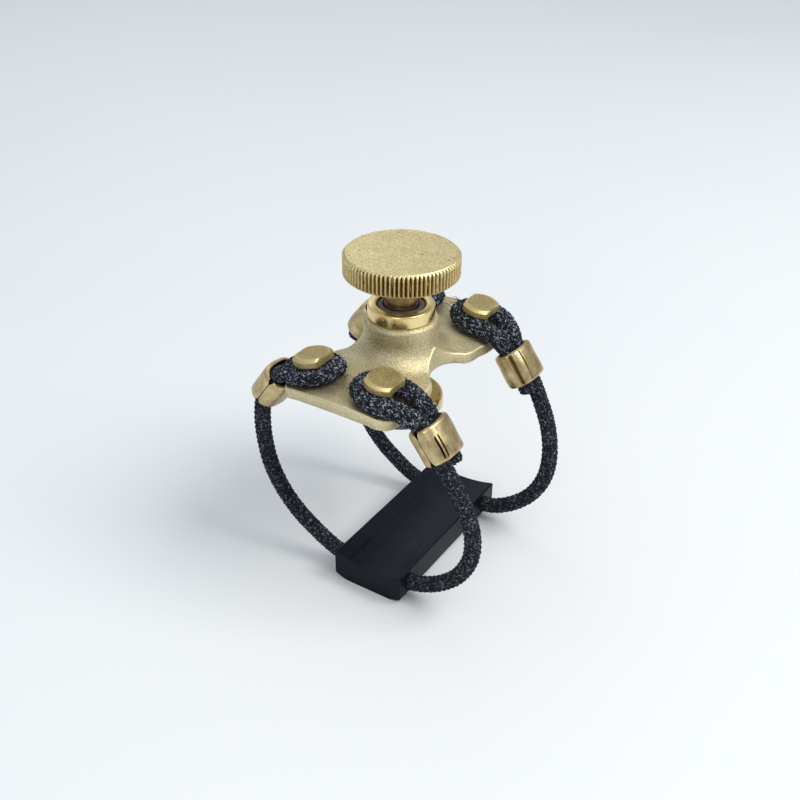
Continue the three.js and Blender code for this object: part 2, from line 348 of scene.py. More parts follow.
def bump(material, height, distance, strength=1.0, under=None):
    """Relief from a height, with the relief under it if there is one."""
    inputs = {"Height": height, "Distance": distance * MM, "Strength": strength}
    if under is not None:
        inputs["Normal"] = under
    return node(material, "Bump", inputs).outputs["Normal"]


def attribute(material, name):
    return node(material, "Attribute", attribute_name=name).outputs["Fac"]


# ---- materials ----
def blasted_brass(name, pale, deep, grain=0.055):
    """Brass blasted with beads: a fine even grain, a little worn and bright along the edges."""
    material, shader = new_material(name, Metallic=1.0)
    mottle = ramp(material, noise(material, 420, 3), [(0.3, deep), (0.72, pale)])
    speck = ramp(material, noise(material, 6400, 2), [(0.38, 0.5), (0.6, 1.0)])
    grained = blend(material, 0.85, mottle, speck, "MULTIPLY")
    worn = attribute(material, "worn")
    wire(material, blend(material, worn, grained, tuple(1.04 * c for c in pale)), shader, "Base Color")
    rough = ramp(material, noise(material, 900, 3), [(0.3, 0.5), (0.7, 0.6)])
    wire(material, blend(material, worn, rough, (0.46, 0.46, 0.46)), shader, "Roughness")
    dimples = bump(material, noise(material, 6400, 2, 0.7), grain)
    wire(material, bump(material, noise(material, 1500, 2), 0.02, under=dimples), shader, "Normal")
    return material


def bright_brass(name, colour, dull, roughness):
    """Turned and polished brass, with faint tool marks, thin tarnish and fingerprints."""
    material, shader = new_material(name, Metallic=1.0)
    film = ramp(material, noise(material, 260, 4, 0.6), [(0.36, 0.0), (0.7, 1.0)])
    wire(material, blend(material, film, colour, dull), shader, "Base Color")
    haze = ramp(material, noise(material, 700, 5, 0.65), [(0.35, roughness), (0.75, roughness + 0.14)])
    wire(material, haze, shader, "Roughness")
    marks = noise(material, 1.0, 2, vector=place(material, (350, 350, 16000)))
    wire(material, bump(material, marks, 0.0025), shader, "Normal")
    return material


def rolled_brass(name, colour, dull):
    """The sleeves' tumbled sheet: painted shade in the pressed marks and inside the bore, and small
    dents.
    """
    material, shader = new_material(name, Metallic=1.0)
    film = ramp(material, noise(material, 620, 4, 0.6), [(0.38, dull), (0.62, colour)])
    # painted shade: brown inside the bore, brown to near black in the pressed marks as they deepen
    painted_shade = ramp(
        material,
        attribute(material, "hollow"),
        [(0.05, (1.0, 1.0, 1.0)), (0.5, (0.2, 0.13, 0.06)), (0.95, (0.03, 0.02, 0.01))],
    )
    wire(material, blend(material, 1.0, film, painted_shade, "MULTIPLY"), shader, "Base Color")
    rough = ramp(material, noise(material, 1300, 4, 0.6), [(0.3, 0.26), (0.75, 0.42)])
    wire(material, rough, shader, "Roughness")
    dents = bump(material, noise(material, 430, 2), 0.03)
    wire(material, bump(material, noise(material, 3800, 2), 0.004, under=dents), shader, "Normal")
    return material


def satin_brass():
    """The knob: satin with hair scratches and small pits on the flat, grime and painted shade between the
    teeth, and painted shade over its knurled side.
    """
    material, shader = new_material("satin_brass", Metallic=1.0)
    pale, deep = (0.9, 0.77, 0.4), (0.8, 0.66, 0.33)
    tone = ramp(material, noise(material, 500, 4), [(0.3, deep), (0.7, pale)])
    speck = ramp(material, noise(material, 4600, 2), [(0.36, 0.6), (0.6, 1.0)])
    tone = blend(material, 0.85, tone, speck, "MULTIPLY")
    hollow = attribute(material, "hollow")
    # painted shade: darker between the teeth, where there is some grime too, and darker all over the
    # knurled side
    painted_shade = ramp(material, hollow, [(0.15, (1.0, 1.0, 1.0)), (0.85, (0.38, 0.27, 0.11))])
    tone = blend(material, 1.0, tone, painted_shade, "MULTIPLY")
    lines = [
        noise(material, 1.0, 2, vector=place(material, (260, 17000, 300), (0, 0, math.radians(turn))))
        for turn in (20, -35, 75)
    ]
    scratches = [ramp(material, line, [(0.67, 0.0), (0.73, 1.0)]) for line in lines]
    scratched = blend(material, 1.0, *scratches[:2], "LIGHTEN")
    scratched = blend(material, 1.0, scratched, scratches[2], "LIGHTEN")
    tone = blend(material, scratched, tone, (1.0, 0.92, 0.62))
    cells = node(material, "TexVoronoi", {"Scale": 900.0, "Vector": place(material)}).outputs["Distance"]
    patch = ramp(material, noise(material, 240, 1), [(0.44, 1.0), (0.55, 0.0)])
    pits = ramp(material, blend(material, 1.0, cells, patch, "ADD"), [(0.1, 1.0), (0.17, 0.0)])
    wire(material, blend(material, pits, tone, (0.22, 0.15, 0.06)), shader, "Base Color")
    rough = ramp(material, noise(material, 1600, 3), [(0.3, 0.36), (0.7, 0.44)])
    wire(material, rough, shader, "Roughness")
    grain = bump(material, noise(material, 4600, 2), 0.014)
    cut = bump(material, scratched, 0.02, under=grain)
    wire(material, bump(material, pits, -0.03, under=cut), shader, "Normal")
    return material


def hard_rubber():
    """Black ebonite: satin, with faint marks along the reed and a cool bloom."""
    cool = (0.75, 0.88, 1.0, 1.0)
    material, shader = new_material("hard_rubber", Specular_IOR_Level=0.11, Specular_Tint=cool)
    streaks = noise(material, 1.0, 3, vector=place(material, (1500, 45, 1500)))
    bloom = ramp(material, noise(material, 230, 3), [(0.3, 0.0), (0.8, 1.0)])
    black = ramp(material, streaks, [(0.35, (0.0025, 0.003, 0.005)), (0.65, (0.006, 0.0075, 0.012))])
    wire(material, blend(material, bloom, black, (0.008, 0.010, 0.016)), shader, "Base Color")
    wire(material, ramp(material, streaks, [(0.3, 0.26), (0.7, 0.42)]), shader, "Roughness")
    fine = bump(material, noise(material, 5200, 2), 0.003)
    wire(material, bump(material, streaks, 0.006, under=fine), shader, "Normal")
    return material


def braid_fibre():
    """The cord's yarns: charcoal filaments laid along each yarn, in greyer patches, with painted
    highlights streaked along the crests and painted shade between the yarns.
    """
    material, shader = new_material(
        "braid_fibre", Roughness=0.8, Sheen_Weight=0.04, Sheen_Roughness=0.4, Specular_IOR_Level=0.1
    )
    along = node(material, "UVMap", uv_map="yarn").outputs["UV"]
    fine, coarse = [
        node(material, "Mapping", {"Vector": along, "Scale": scale}).outputs[0]
        for scale in ((7.0, 1.9, 1), (3.0, 1.1, 1))
    ]
    crest = attribute(material, "crest")
    # painted shade between the yarns: the lower a point lies in the braid, the darker it is, and the core
    # darkest of all
    deep = ramp(material, crest, [(0.1, (0.0012, 0.0016, 0.003)), (0.8, (0.009, 0.011, 0.018))])
    grey = ramp(material, noise(material, 1.0, 2, 0.6, coarse), [(0.5, 0.0), (0.58, 1.0)])
    shade = blend(material, grey, deep, (0.017, 0.021, 0.03))
    # painted highlights: pale streaks along the yarns, only on their crests
    strands = ramp(material, noise(material, 1.0, 2, 0.6, fine), [(0.55, 0.0), (0.61, 1.0)])
    raised = ramp(material, crest, [(0.35, 0.0), (0.7, 1.0)])
    painted_highlight = blend(material, 1.0, strands, raised, "MULTIPLY")
    # the painted highlights are at full strength where the cord lies on the plate, and at half strength
    # lower down
    worn = ramp(material, attribute(material, "worn"), [(0.0, 0.5), (1.0, 1.0)])
    painted_highlight = blend(material, 1.0, painted_highlight, worn, "MULTIPLY")
    wire(material, blend(material, painted_highlight, shade, (0.46, 0.51, 0.62)), shader, "Base Color")
    twist = {"Vector": coarse, "Scale": 3.0, "Distortion": 3.0, "Detail": 2.0}
    filaments = node(material, "TexWave", twist)
    soft = bump(material, noise(material, 5200, 3, 0.7), 0.02)
    wire(material, bump(material, filaments.outputs["Fac"], 0.04, under=soft), shader, "Normal")
    return material


def ring_rubber():
    material, shader = new_material("ring_rubber", Specular_IOR_Level=0.45)
    film = noise(material, 1500, 4, 0.7)
    dust = ramp(material, film, [(0.35, (0.105, 0.085, 0.095)), (0.75, (0.2, 0.165, 0.175))])
    wire(material, dust, shader, "Base Color")
    rough = ramp(material, noise(material, 900, 3), [(0.3, 0.42), (0.7, 0.62)])
    wire(material, rough, shader, "Roughness")
    wire(material, bump(material, noise(material, 3200, 3), 0.012), shader, "Normal")
    return material


def speckled_pad():
    """Rubber-bound cork: dark, with pale and brown grains."""
    material, shader = new_material("speckled_pad", Roughness=0.9, Specular_IOR_Level=0.2)
    cells = node(material, "TexVoronoi", {"Scale": 2600.0, "Vector": place(material)})
    stops = [(0.25, (0.035, 0.036, 0.04)), (0.6, (0.09, 0.09, 0.095)), (0.85, (0.24, 0.22, 0.19))]
    grains = ramp(material, cells.outputs["Color"], stops)
    wire(material, grains, shader, "Base Color")
    coarse = bump(material, cells.outputs["Distance"], 0.05)
    wire(material, bump(material, noise(material, 5000, 3), 0.02, under=coarse), shader, "Normal")
    return material


def floor_paper():
    material, shader = new_material("floor_paper", Roughness=0.62, Specular_IOR_Level=0.3)
    cloud = noise(material, 6, 3)
    tone = ramp(material, cloud, [(0.3, (0.72, 0.74, 0.755)), (0.7, (0.745, 0.765, 0.775))])
    wire(material, tone, shader, "Base Color")
    wire(material, bump(material, noise(material, 900, 3), 0.01), shader, "Normal")
    return material


# ---- cords ----
# One loop at Y > 0, from the cut tail up through the sleeve, round the post and back down through
# the sleeve, in metres from the crown. X is counted outwards, and both sides use it.
LOOP = [
    (0.0149, 0.01025, -0.0075),
    (0.01405, 0.01023, -0.00633),
    (0.0126, 0.01023, -0.0043),
    (0.01115, 0.0102, -0.00227),
    (0.0104, 0.01015, -0.00135),
    (0.0093, 0.01005, -0.0005),
    (0.0077, 0.0099, 0.0003),
    (0.0052, 0.00975, 0.00071),
    (0.00335, 0.01053, 0.00102),
    (0.00258, 0.0124, 0.00115),
    (0.00335, 0.01427, 0.00102),
    (0.0052, 0.01505, 0.00071),
    (0.0077, 0.01465, 0.0003),
    (0.0093, 0.0138, -0.0005),
    (0.0104, 0.0130, -0.00135),
    (0.01115, 0.01255, -0.00227),
    (0.0126, 0.01247, -0.0043),
]
# From the right sleeve down through the reed plate and up to the left sleeve, from the origin.
UNDER = [
    (0.0107, 0.01247, 0.02595),
    (0.01235, 0.0123, 0.0230),
    (0.01415, 0.0119, 0.0193),
    (0.01515, 0.0114, 0.0152),
    (0.0149, 0.0111, 0.0110),
    (0.01315, 0.0109, 0.0072),
    (0.0104, 0.01075, 0.0044),
    (0.0079, 0.01066, 0.0029),
    (0.0060, 0.01065, 0.00225),
    (0.0044, 0.01065, 0.00215),
    (0.0, 0.01065, 0.00215),
    (-0.0044, 0.01065, 0.00215),
    (-0.0060, 0.01065, 0.00225),
    (-0.0079, 0.01066, 0.00285),
    (-0.0106, 0.01075, 0.0044),
    (-0.0136, 0.01085, 0.0066),
    (-0.0161, 0.0110, 0.0095),
    (-0.01785, 0.0113, 0.0134),
    (-0.0184, 0.0118, 0.0180),
    (-0.0182, 0.0122, 0.0222),
    (-0.0174, 0.01247, 0.02595),
]


def through(points, step):
    """A centripetal Catmull-Rom curve through the points, as points that step apart."""
    ends = [2 * points[0] - points[1], 2 * points[-1] - points[-2]]
    p = np.concatenate([ends[:1], points, ends[1:]])
    fine = []
    for i in range(1, len(p) - 2):
        knots = np.cumsum([0] + [np.linalg.norm(p[i + k] - p[i + k - 1]) ** 0.5 for k in range(3)])
        t0, t1, t2, t3 = knots
        t = np.linspace(t1, t2, 24, endpoint=False)[:, None]
        a1 = ((t1 - t) * p[i - 1] + (t - t0) * p[i]) / (t1 - t0)
        a2 = ((t2 - t) * p[i] + (t - t1) * p[i + 1]) / (t2 - t1)
        a3 = ((t3 - t) * p[i + 1] + (t - t2) * p[i + 2]) / (t3 - t2)
        b1 = ((t2 - t) * a1 + (t - t0) * a2) / (t2 - t0)
        b2 = ((t3 - t) * a2 + (t - t1) * a3) / (t3 - t1)
        fine.append(((t2 - t) * b1 + (t - t1) * b2) / (t2 - t1))
    fine = np.concatenate([*fine, points[-1:]])
    along = np.concatenate([[0], np.cumsum(np.linalg.norm(np.diff(fine, axis=0), axis=1))])
    at = np.linspace(0, along[-1], int(round(along[-1] / step)) + 1)
    return np.stack([np.interp(at, along, fine[:, k]) for k in range(3)], axis=1), at


def carried_frames(line, first_normal):
    """Tangents and two normals along a line, turned as little as they can be."""
    tangents = np.gradient(line, axis=0)
    tangents /= np.linalg.norm(tangents, axis=1)[:, None]
    normals = np.zeros_like(line)
    normal = np.array(first_normal, float)
    for i, tangent in enumerate(tangents):
        normal = normal - (normal @ tangent) * tangent
        normal /= np.linalg.norm(normal)
        normals[i] = normal
    return tangents, normals, np.cross(tangents, normals)


def yarn_tubes(line, at, flatness, swell):
    """The braid's yarns as flattened tubes, and how far each ring of points stands out, from 0 to 1,
    which sets its painted highlight and shade.
    """
    tangents, normals, sides = carried_frames(line, (1, 0, 1))
    across = np.array([(1, 0), (0, 1), (-1, 0), (0, -1)], float)
    half_wide, half_thick, wave = 0.29, 0.16, 0.13
    middle = CORD_D / 2 - half_thick - wave
    crossing = np.pi * at * 2 * YARNS_EACH_WAY / LAY
    ends = np.minimum(at, at[-1] - at)
    flare = 1 + 0.12 * np.clip(1 - ends / 1.6, 0, 1) ** 2 - 0.35 * np.clip(1 - ends / 0.45, 0, 1) ** 2
    tubes, crests = [], []
    for way in (1, -1):
        for i in range(YARNS_EACH_WAY):
            angle = 2 * np.pi * (i / YARNS_EACH_WAY + way * at / LAY)
            radius = (middle + way * wave * np.cos(crossing)) * flare * swell
            radius = radius + 0.02 * np.sin(at * 2.1 + 5 * i + way)
            out = np.cos(angle)[:, None] * normals + np.sin(angle)[:, None] * sides
            round_it = -np.sin(angle)[:, None] * normals + np.cos(angle)[:, None] * sides
            spin = 2 * np.pi * radius / LAY * way
            lead = tangents + spin[:, None] * round_it
            lead /= np.linalg.norm(lead, axis=1)[:, None]
            wide = np.cross(out, lead)
            ring = line[:, None] + radius[:, None, None] * out[:, None]
            ring = ring + half_thick * across[None, :, :1] * out[:, None]
            ring = ring + half_wide * across[None, :, 1:] * wide[:, None]
            ragged = np.clip(1 - ends / 0.8, 0, 1) * RNG.uniform(-0.14, 0.05)
            ring = ring + (np.sign(at - at[-1] / 2) * ragged)[:, None, None] * tangents[:, None]
            from_line = ring - line[:, None]
            squeezed = (from_line * normals[:, None]).sum(-1) * (flatness - 1)[:, None]
            widened = (from_line * sides[:, None]).sum(-1) * (1 / flatness - 1)[:, None]
            ring = ring + squeezed[..., None] * normals[:, None] + widened[..., None] * sides[:, None]
            tubes.append(ring)
            crests.append(0.5 + 0.5 * way * np.cos(crossing))
    return tubes, crests


def loose_fibres(line, starts, reach, inwards=False):
    """Curled hairs that stand off the braid at these places along it, or that lie over the plate."""
    count = len(starts)
    tangents, normals, sides = carried_frames(line, (1, 0, 1))
    t = 2 * np.pi * np.arange(3) / 3
    u = np.linspace(0, 1, 9)
    tubes = []
    for start, angle, lean in zip(
        starts, RNG.uniform(0, 2 * np.pi, count), RNG.normal(0, 0.8, (count, 2))
    ):
        out = math.cos(angle) * normals[start] + math.sin(angle) * sides[start]
        if inwards:
            out = np.array((np.sign(CROWN[0] - line[start, 0]), 0, 0.1 + 0.25 * math.sin(angle)))
            lean = 0.3 * lean
        along, across = tangents[start], np.cross(tangents[start], out)
        long = reach * RNG.uniform(0.4, 1.0)
        curl = np.sin(u * RNG.uniform(2, 5)) * 0.35 * long
        path = line[start] + out * (CORD_D / 2 - 0.15 + 0.55 * long * u)[:, None]
        path = path + along * (lean[0] * long * u)[:, None]
        path = path + across * (curl + lean[1] * 0.4 * long * u)[:, None]
        radius = (0.012 + 0.017 * reach) * (1.2 - 0.7 * u)
        ring = radius[:, None, None] * (np.cos(t)[:, None] * along + np.sin(t)[:, None] * across)
        tubes.append(path[:, None] + ring)
    return tubes


def braided_cord(name, sy, material):
    """One cord: a core in the deepest painted shade, under twenty yarns that pass over and under each
    other.
    """
    crown = CROWN * MM
    right = [crown + np.array((x, y, z)) for x, y, z in LOOP]
    left = [crown + np.array((-x, y, z)) for x, y, z in reversed(LOOP)]
    route = np.array([*right, *(np.array(p) for p in UNDER), *left]) * (1, sy, 1)
    step = LAY / (2 * YARNS_EACH_WAY * STEPS_PER_CROSSING)
    line, at = through(route / MM, step)
    height = line[:, 2] - CROWN[2]
    on_plate = np.clip((height + 2.6) / 1.8, 0, 1)
    eased = on_plate * on_plate * (3 - 2 * on_plate)
    tubes, crests = yarn_tubes(line, at, 1 - 0.18 * eased, 1 + 0.14 * eased)
    core_r = CORD_D / 2 - 0.42
    _, normals, sides = carried_frames(line, (1, 0, 1))
    t = 2 * np.pi * np.arange(10) / 10
    round_about = np.cos(t)[:, None] * normals[:, None] + np.sin(t)[:, None] * sides[:, None]
    core = line[:, None] + core_r * round_about
    points, faces, uvs, start = [], [], [], 0
    layers = {"crest": [], "worn": []}
    turns = np.flatnonzero((np.abs(line[:, 0] - CROWN[0]) < 3.8) & (height > 0))
    hairs = loose_fibres(line, RNG.integers(0, len(line), 260), 0.55)
    hairs += loose_fibres(line, RNG.choice(turns, 12), 3.0, inwards=True)
    # crest values also set the painted shade and highlights: the core gets the deepest shade, and the
    # loose hairs deep shade with no highlights
    crests += [np.zeros(len(core[::2])), *(np.full(len(hair), 0.3) for hair in hairs)]
    # how strong the painted highlights are, kept in the worn layer: full where the cord lies on the
    # plate, half lower down
    glint_strengths = [eased] * len(tubes) + [eased[::2]] + [np.zeros(len(hair)) for hair in hairs]
    for number, (tube, crest, wear) in enumerate(zip([*tubes, core[::2], *hairs], crests, glint_strengths)):
        rows, columns = tube.shape[:2]
        index = start + np.arange(rows * columns).reshape(rows, columns)
        grid = np.concatenate([index, index[:, :1]], axis=1)
        quads = np.stack([grid[:-1, :-1], grid[:-1, 1:], grid[1:, 1:], grid[1:, :-1]], axis=-1)
        faces += quads.reshape(-1, 4).tolist()
        down, over = np.meshgrid(np.arange(rows - 1), np.arange(columns), indexing="ij")
        corner = [(0, 0), (0, 1), (1, 1), (1, 0)]
        sheet = np.stack([
            np.stack([(over + b) / columns, (down + a) * step + 7.3 * number], -1) for a, b in corner
        ], 2)
        uvs.append(sheet.reshape(-1, 2))
        ends = [index[0][::-1].tolist(), index[-1].tolist()]
        faces += ends
        uvs.append(np.zeros((2 * columns, 2)))
        points.append(tube.reshape(-1, 3))
        layers["crest"].append(np.repeat(crest, columns))
        layers["worn"].append(np.repeat(wear, columns))
        start += rows * columns
    mesh = bpy.data.meshes.new(name)
    mesh.from_pydata((np.concatenate(points) * MM).tolist(), [], faces)
    layer = mesh.uv_layers.new(name="yarn")
    layer.data.foreach_set("uv", np.concatenate(uvs).astype(np.float32).ravel())
    for key, values in layers.items():
        values = np.concatenate(values).astype(np.float32)
        mesh.attributes.new(key, "FLOAT", "POINT").data.foreach_set("value", values)
    piece = link(name, mesh)
    mesh.materials.append(material)
    smooth(piece, 80)
    return piece, line * MM, at[-1] * MM


def place_cord(name, sy, node_name, material):
    piece, line, length = braided_cord(name, sy, material)
    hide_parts(node_name)
    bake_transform(piece)


# ---- yoke ----
def yoke_outline():
    """The yoke seen from above: bowed ends, round corners and a waist, anticlockwise."""
    corner_x = PLATE_HALF_X - CORNER_R
    x = np.linspace(0, corner_x - 0.2, 12)
    front = np.stack([x, PLATE_HALF_Y - FRONT_BOW * x * x], axis=1)
    corner = arc(corner_x, front[-1, 1] - CORNER_R, CORNER_R, 76, 0, 16)
    waist = arc(WAIST_X + WAIST_R, 0, WAIST_R, 127, 180, 24)
    bend = [tuple(corner[-1]), (PLATE_HALF_X - 0.15, 7.2, 3.0), (8.05, 5.35, 0.7), tuple(waist[0])]
    shoulder = filleted(bend)[1:-1]
    quarter = np.concatenate([front, corner, shoulder, waist])
    right = np.concatenate([quarter, quarter[-2::-1] * (1, -1)])
    left = right[-2:0:-1] * (-1, 1)
    return np.concatenate([right, left])[::-1]


def by_angle(outline, angles):
    """Where rays from the middle at these angles meet the outline."""
    own = np.unwrap(np.arctan2(outline[:, 1], outline[:, 0]))
    radius = np.hypot(outline[:, 0], outline[:, 1])
    order = np.argsort(own % (2 * np.pi))
    sorted_angles, sorted_radius = (own % (2 * np.pi))[order], radius[order]
    around = np.interp(angles, sorted_angles, sorted_radius, period=2 * np.pi)
    return np.stack([around * np.cos(angles), around * np.sin(angles)], axis=1)


def yoke_top(xy):
    """Height of the arched plate's top, with the flare that rises to the boss."""
    arch = np.sqrt(ARCH_R**2 - xy[..., 0] ** 2) - ARCH_R
    inwards = np.clip(BOSS_R + BOSS_FLARE - np.hypot(xy[..., 0], xy[..., 1]), 0, BOSS_FLARE)
    return arch + BOSS_FLARE - np.sqrt(BOSS_FLARE**2 - inwards**2)


def yoke_under(xy):
    return np.sqrt((ARCH_R - PLATE_T) ** 2 - xy[..., 0] ** 2) - ARCH_R


def yoke(material):
    segments, edge = 640, 0.3
    angles = 2 * np.pi * np.arange(segments) / segments
    rim = by_angle(yoke_outline(), angles)
    normals = outward(rim)
    ray = np.stack([np.cos(angles), np.sin(angles)], axis=1)
    rings, worn = [], []

    def add(xy, z, wear=0.0):
        rings.append(np.concatenate([xy, np.broadcast_to(z, angles.shape)[:, None]], axis=1))
        worn.append([wear])

    add(BORE_R * ray, yoke_under(BORE_R * ray))
    boss = [(BORE_R, 0), (BORE_R, BOSS_TOP, 0.2), (BOSS_R, BOSS_TOP, BOSS_ROUND), (BOSS_R, 3.0)]
    for radius, z in filleted(boss):
        add(radius * ray, z)
    inner = rim - edge * normals
    for share in np.linspace(0, 1, 30):
        xy = BOSS_R * ray + (inner - BOSS_R * ray) * share**2
        add(xy, yoke_top(xy))
    for turn in np.radians((22.5, 45, 67.5, 90)):
        xy = rim - edge * (1 - np.sin(turn)) * normals
        add(xy, yoke_top(inner) - edge * (1 - np.cos(turn)), 0.6)
    for turn in np.radians((90, 67.5, 45, 22.5, 0)):
        xy = rim - edge * (1 - np.sin(turn)) * normals
        add(xy, yoke_under(inner) + edge * (1 - np.cos(turn)))
    for share in np.linspace(0, 1, 14)[1:-1]:
        xy = inner + (BORE_R * ray - inner) * share
        add(xy, yoke_under(xy))
    piece = surface("arched_yoke", np.array(rings) + CROWN, wrap_rows=True, worn=np.array(worn))
    return dress(piece, material, "blasted_brass", "yoke", "yoke")


# ---- posts ----
def on_arch(sx, sy):
    """Stands a piece made about Z on the arch at one corner, square to the plate."""
    lean = Matrix.Rotation(sx * math.asin(POST_X / ARCH_R), 4, "Y")
    up = Matrix.Translation((0, 0, ARCH_R * MM))
    down = Matrix.Translation((0, sy * POST_Y * MM, -ARCH_R * MM))
    return Matrix.Translation(Vector(CROWN * MM)) @ down @ lean @ up


def cord_post(side, end, sx, sy, material):
    """A riveted stud. Its turned and chamfered head has a flat milled on each side."""
    segments = 144
    t = 2 * np.pi * np.arange(segments) / segments
    top = CORD_SPACE + HEAD_T
    under = -PLATE_T - 0.42
    profile = filleted([
        (0, under), (1.75, under, 0.25), (1.75, -PLATE_T + 0.3), (POST_R, -PLATE_T + 0.35),
        (POST_R, CORD_SPACE, 0.25), (HEAD_R, CORD_SPACE, 0.12), (HEAD_R, top - 0.3, 0.06),
        (HEAD_R - 0.42, top, 0.05),
        (1.9, top), (1.5, top), (1.0, top), (0.5, top), (0, top),
    ])
    flat = HEAD_FLAT / np.maximum(np.abs(np.cos(t)), 1e-6)
    sharpness = 90
    rings = []
    for radius, z in profile:
        reach = np.full(segments, radius)
        if radius > POST_R:
            reach = (radius**-sharpness + flat**-sharpness) ** (-1 / sharpness)
        rings.append(np.stack([reach * np.cos(t), reach * np.sin(t), np.full(segments, z)], axis=1))
    worn = np.array([[float(top - 0.32 < z < top or radius > 2.2 and z == top)] for radius, z in profile])
    piece = surface(f"stud_{end}_{side}", np.array(rings), transform=on_arch(sx, sy), worn=worn)
    return dress(piece, material, "stud_brass", "yoke", f"cord_post_{end}_{side}")


# ---- sleeves ----
def sleeve_path(marks):
    """Points and outward normals round the bore from one lip of the seam to the other, by length.

    The seam is on the -Y edge here, and faces the nearer end of the ligature once it is placed.
    """
    width, depth = SLEEVE_BORE
    straight, radius = width - depth, depth / 2
    lip = SEAM_GAP / 2
    total = 2 * straight + 2 * math.pi * radius
    along = list(np.arange(lip, total - lip, 0.14)) + [total - lip]
    for mark in marks:
        along += list(mark["at"] + mark["half"] * np.array([-1.4, -1, -0.6, 0, 0.6, 1, 1.4]))
    along = np.unique(np.round(along, 4))
    points, normals = [], []
    quarter = math.pi * radius / 2
    for s in along:
        if s < quarter or s > total - quarter:
            turn = s if s < quarter else s - total
            angle, centre = -math.pi / 2 + turn / radius, -straight / 2
        elif s < quarter + straight:
            angle, centre = 0.0, s - quarter - straight / 2
        elif s < quarter + straight + 2 * quarter:
            angle, centre = (s - quarter - straight) / radius, straight / 2
        else:
            angle, centre = math.pi, straight / 2 - (s - 3 * quarter - straight)
        normal = (math.cos(angle), math.sin(angle))
        points.append((radius * normal[0], centre + radius * normal[1]))
        normals.append(normal)
    return along, np.array(points), np.array(normals), total


def sleeve_section():
    """The sheet's edge-on section as (along the sleeve, out from the bore), clockwise from its foot."""
    half = SLEEVE_L / 2
    inner, round_over = -0.2, 0.4
    corners = [
        (-half, inner, 0.14), (-half, SLEEVE_WALL, round_over),
        (half, SLEEVE_WALL, round_over), (half, inner, 0.18),
    ]
    section = filleted(corners, steps=5)
    outer = np.linspace(-half + round_over, half - round_over, 34)[1:-1]
    return np.concatenate([section[:12], [(v, SLEEVE_WALL) for v in outer], section[12:]])


def crimp_sleeve(side, end, sx, sy, material, marks):
    """A strip of sheet rolled round both strands of the cord, pressed flat, with tool marks in it."""
    along, points, normals, total = sleeve_path(marks)
    section = sleeve_section()
    rings, hollow = [], []
    for s, point, normal in zip(along, points, normals):
        lip = min(s, total - s)
        ring, sunk = [], []
        for v, out in section:
            push = 0.0
            for mark in marks:
                depth = max(0.0, 1 - abs(s - mark["at"]) / mark["half"])
                inside = min(1.0, max(0.0, (v - mark["low"]) / 0.12))
                inside *= min(1.0, max(0.0, (mark["high"] - v) / 0.12))
                push += mark["depth"] * depth * inside
            curl = 0.16 * math.exp(-((lip / 0.5) ** 2)) * (out / SLEEVE_WALL)
            dent = 0.035 * math.sin(1.3 * v + 0.9 * s + 2 * sx + sy)
            bulge = 0.12 * (1 - (2 * v / SLEEVE_L) ** 2)
            grown = out - (push if out > 0.9 * SLEEVE_WALL else 0.0) - curl
            grown += (dent + bulge) * (out / SLEEVE_WALL)
            belly = 0.4 * abs(normal[0]) * (1 - (2 * point[1] / SLEEVE_BORE[0]) ** 2)
            xy = point + normal * (grown + belly)
            near_mouth = math.exp(-(((SLEEVE_L / 2 - abs(v)) / 0.5) ** 2))
            xy[0] *= 1 + (1.9 * near_mouth - 0.93) * math.exp(-((lip / 0.4) ** 2))
            ring.append((sx * xy[0], -sy * xy[1], v))
            # painted shade: the outer face darkens with how deep it is pressed, and the inside of the
            # bore is darkened too
            sunk.append(min(1.0, push / 0.26) if out > 0.9 * SLEEVE_WALL else 0.6 if out < 0.1 else 0.0)
        rings.append(ring)
        hollow.append(sunk)
    x, y, z = SLEEVE_AT
    where = CROWN + (sx * x, sy * y, z)
    lean = Matrix.Rotation(-sx * math.radians(SLEEVE_LEAN), 4, "Y")
    transform = Matrix.Translation(Vector(where * MM)) @ lean
    rings = np.array(rings)
    piece = surface(f"sleeve_{end}_{side}", rings, capped=True, transform=transform, hollow=hollow)
    return dress(piece, material, "sleeve_brass", "yoke", f"crimp_sleeve_{end}_{side}")


def sleeve_marks(side, end):
    """Where the crimping tool pressed each sleeve, counted round from the seam on its outer face."""
    width, depth = SLEEVE_BORE
    middle = math.pi * depth / 4 + (width - depth) / 2
    if (side, end) == ("right", "front"):
        pair = (middle - 1.62 - 0.16, middle - 1.62 + 0.16)
        return [dict(at=at, half=0.09, depth=0.34, low=-2.05, high=1.0) for at in pair]
    if side == "right":
        return [
            dict(at=middle + 2.37, half=0.36, depth=0.16, low=-2.6, high=2.6),
            dict(at=middle + 1.37, half=0.1, depth=0.12, low=-2.6, high=2.6),
        ]
    return [dict(at=middle + d, half=0.14, depth=0.18, low=-1.5, high=1.2) for d in (-0.5, 0.3)]


# ---- screw ----
def bushing(material):
    thread, guide = STEM_R + RUNNING, NECK_R + RUNNING
    low = -PLATE_T - 0.4
    piece = turned("bushing", [
        (thread, low, 0.12),
        (BORE_R - 0.05, low, 0.2),
        (BORE_R - 0.05, BOSS_TOP + 0.03),
        (BUSHING_R, BOSS_TOP + 0.03, 0.1),
        (BUSHING_R, BUSHING_TOP, 0.3),
        (RECESS_R, BUSHING_TOP, 0.24),
        (RECESS_R, RECESS_FLOOR, 0.15),
        (guide, RECESS_FLOOR, 0.08),
        (guide, 1.0),
        (thread, 0.5),
    ], closed=True)
    return dress(piece, material, "polished_brass", "yoke", "screw_bushing")


def friction_ring(material):
    major = NECK_R + RUNNING + RING_WIRE
    section = arc(major, RECESS_FLOOR + RING_WIRE + 0.05, RING_WIRE, 0, 345, 23)
    piece = surface("grip_ring", circles(section, 128) + CROWN, wrap_rows=True)
    return dress(piece, material, "ring_rubber", "yoke", "friction_ring")


